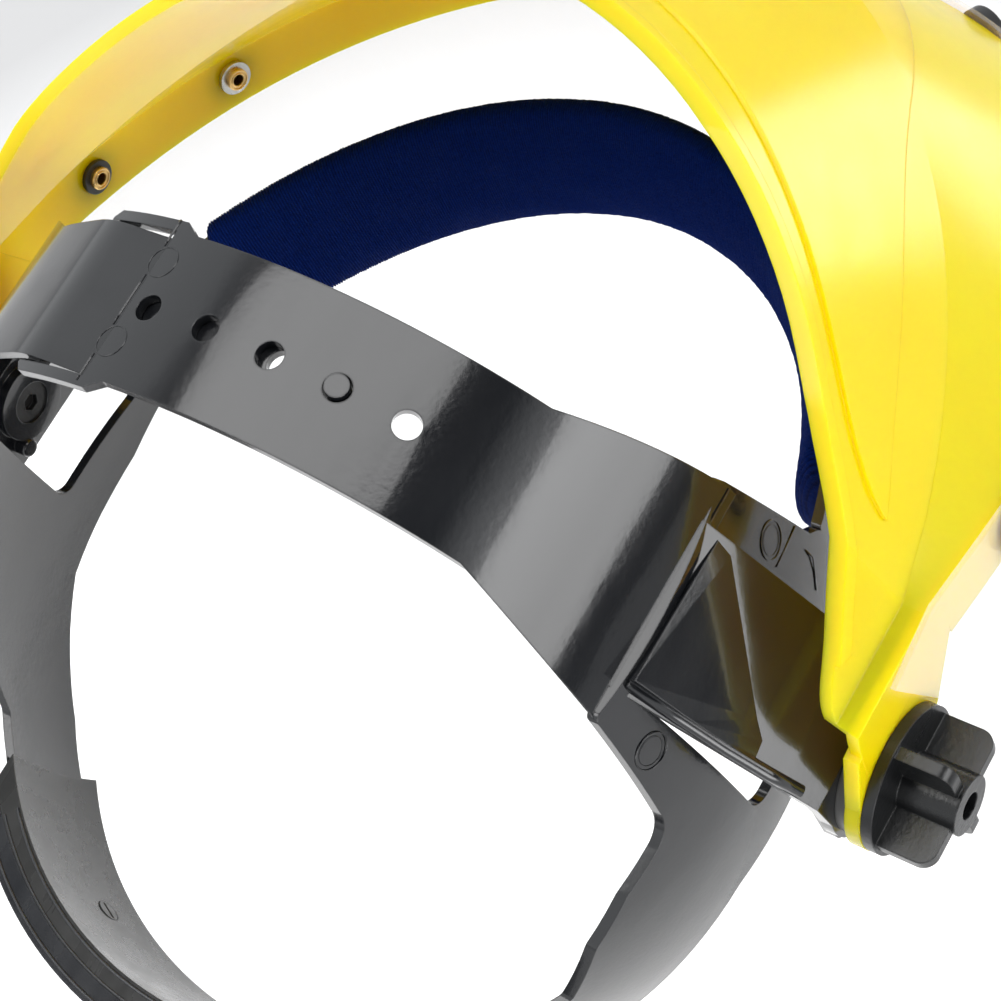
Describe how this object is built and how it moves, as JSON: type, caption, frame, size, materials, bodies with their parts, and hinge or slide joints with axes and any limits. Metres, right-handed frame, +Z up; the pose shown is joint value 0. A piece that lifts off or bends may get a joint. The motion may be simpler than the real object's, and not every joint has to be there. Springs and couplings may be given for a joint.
{
  "type": "face shield headgear",
  "caption": "Flip-up face shield: rigid brow guard and clear visor on an adjustable head harness with crown strap, sweatband, side clamp knobs and nape ratchet.",
  "frame": {"origin": "midpoint of the axis through the two side pivots", "axes": "+Z up on an upright head, -Y the way the wearer faces, +X the left hand side of the wearer"},
  "size_m": [0.246, 0.2825, 0.2988],
  "materials": {
    "guard_yellow": "injection-moulded ABS, high gloss",
    "strap_black": "moulded polyethylene, satin to gloss with fine scuffs",
    "sweat_navy": "ribbed terry cloth over foam",
    "visor_clear": "clear polycarbonate sheet",
    "knob_black": "moulded nylon, fine matte grain",
    "rivet_brass": "tubular rivet, drawn",
    "washer_steel": "pressed washer",
    "washer_black": "nylon washer",
    "cap_black": "moulded cap",
    "bolt_steel": "zinc-plated",
    "bush_white": "acetal",
    "band_black": "moulded polyethylene"
  },
  "bodies": {
    "head": {"headband_front": "band_black", "sweatband": "sweat_navy", "harness_right": "strap_black", "harness_left": "strap_black", "pivot_nut_right": "strap_black", "pivot_nut_left": "strap_black", "pivot_bolt_right": "bolt_steel", "pivot_bolt_left": "bolt_steel", "pivot_bush_right": "bush_white", "pivot_bush_left": "bush_white", "nape_plate": "band_black", "nape_shell": "band_black", "detent_spring": "bolt_steel", "housing_screws": "bolt_steel"},
    "guard": {"brow_guard": "guard_yellow", "visor": "visor_clear", "visor_rivets": "rivet_brass", "steel_washers": "washer_steel", "black_washers": "washer_black", "visor_caps": "cap_black"},
    "knob_right": {"pivot_knob_right": "knob_black", "knob_insert_right": "rivet_brass"},
    "knob_left": {"pivot_knob_left": "knob_black", "knob_insert_left": "rivet_brass"},
    "ratchet": {"ratchet_pinion": "knob_black", "ratchet_dial": "knob_black"},
    "rack_right": {"rack_right": "band_black"},
    "rack_left": {"rack_left": "band_black"}
  },
  "joints": [
    {"name": "guard_tilt", "type": "hinge", "parent": "head", "child": "guard", "pos_m": [0, 0, 0], "axis": [-1, 0, 0], "range_deg": [0, 80]},
    {"name": "knob_right_turn", "type": "hinge", "parent": "head", "child": "knob_right", "pos_m": [-0.11, 0, 0], "axis": [-1, 0, 0], "range_deg": [-180, 180]},
    {"name": "knob_left_turn", "type": "hinge", "parent": "head", "child": "knob_left", "pos_m": [0.11, 0, 0], "axis": [1, 0, 0], "range_deg": [-180, 180]},
    {"name": "ratchet_turn", "type": "hinge", "parent": "head", "child": "ratchet", "pos_m": [0, 0.094, -0.027], "axis": [0, 0.9796, -0.2011], "range_deg": [-90, 90]},
    {"name": "rack_right_slide", "type": "hinge", "parent": "head", "child": "rack_right", "pos_m": [0, 0.01367, -0.01051], "axis": [0, 0.2011, 0.9796], "range_deg": [-5.6, 5.6]},
    {"name": "rack_left_slide", "type": "hinge", "parent": "head", "child": "rack_left", "pos_m": [0, 0.01367, -0.01051], "axis": [0, 0.2011, 0.9796], "range_deg": [-5.6, 5.6]}
  ],
  "couplings": [
    {"joint": "rack_left_slide", "follows": "ratchet_turn", "ratio": -0.06098},
    {"joint": "rack_right_slide", "follows": "ratchet_turn", "ratio": 0.06098}
  ]
}
